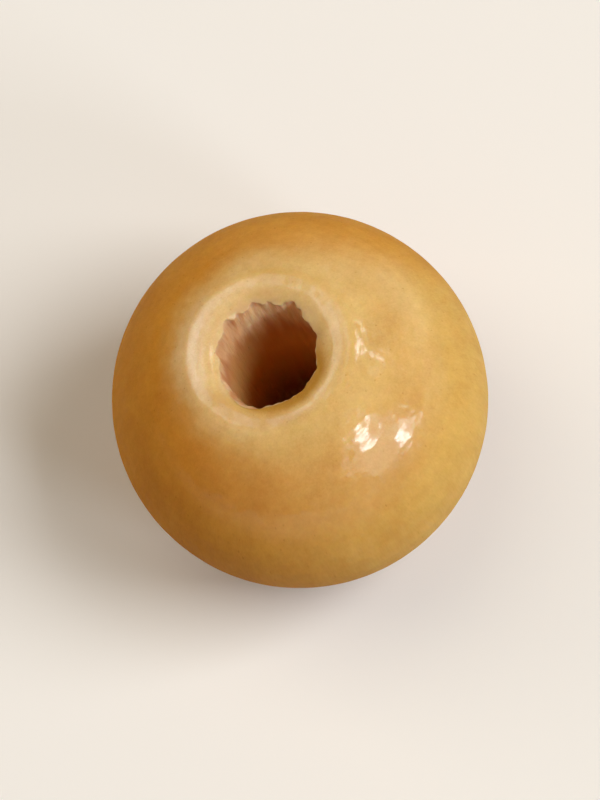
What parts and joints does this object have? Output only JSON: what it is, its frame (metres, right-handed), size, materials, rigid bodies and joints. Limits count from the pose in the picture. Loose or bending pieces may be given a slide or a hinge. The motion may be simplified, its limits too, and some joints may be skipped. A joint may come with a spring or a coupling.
{
  "type": "wooden bead",
  "caption": "Turned wooden ball bead with a flat land on each end, rolled lips and a round bore right through it, for stringing on cord.",
  "frame": {"origin": "middle of the bead, on the bore's axis, halfway between the two end lands", "axes": "+Z along the bore, towards the end that was torn most by the drill; the bead is round about Z, and stands on its lower land"},
  "size_m": [0.02, 0.02, 0.018],
  "materials": {
    "lacquered_wood": "pale close-grained hardwood under a clear high-gloss lacquer with a honey-amber cast; raw wood inside the bore"
  },
  "bodies": {
    "root": {"bead": "lacquered_wood"}
  },
  "joints": []
}
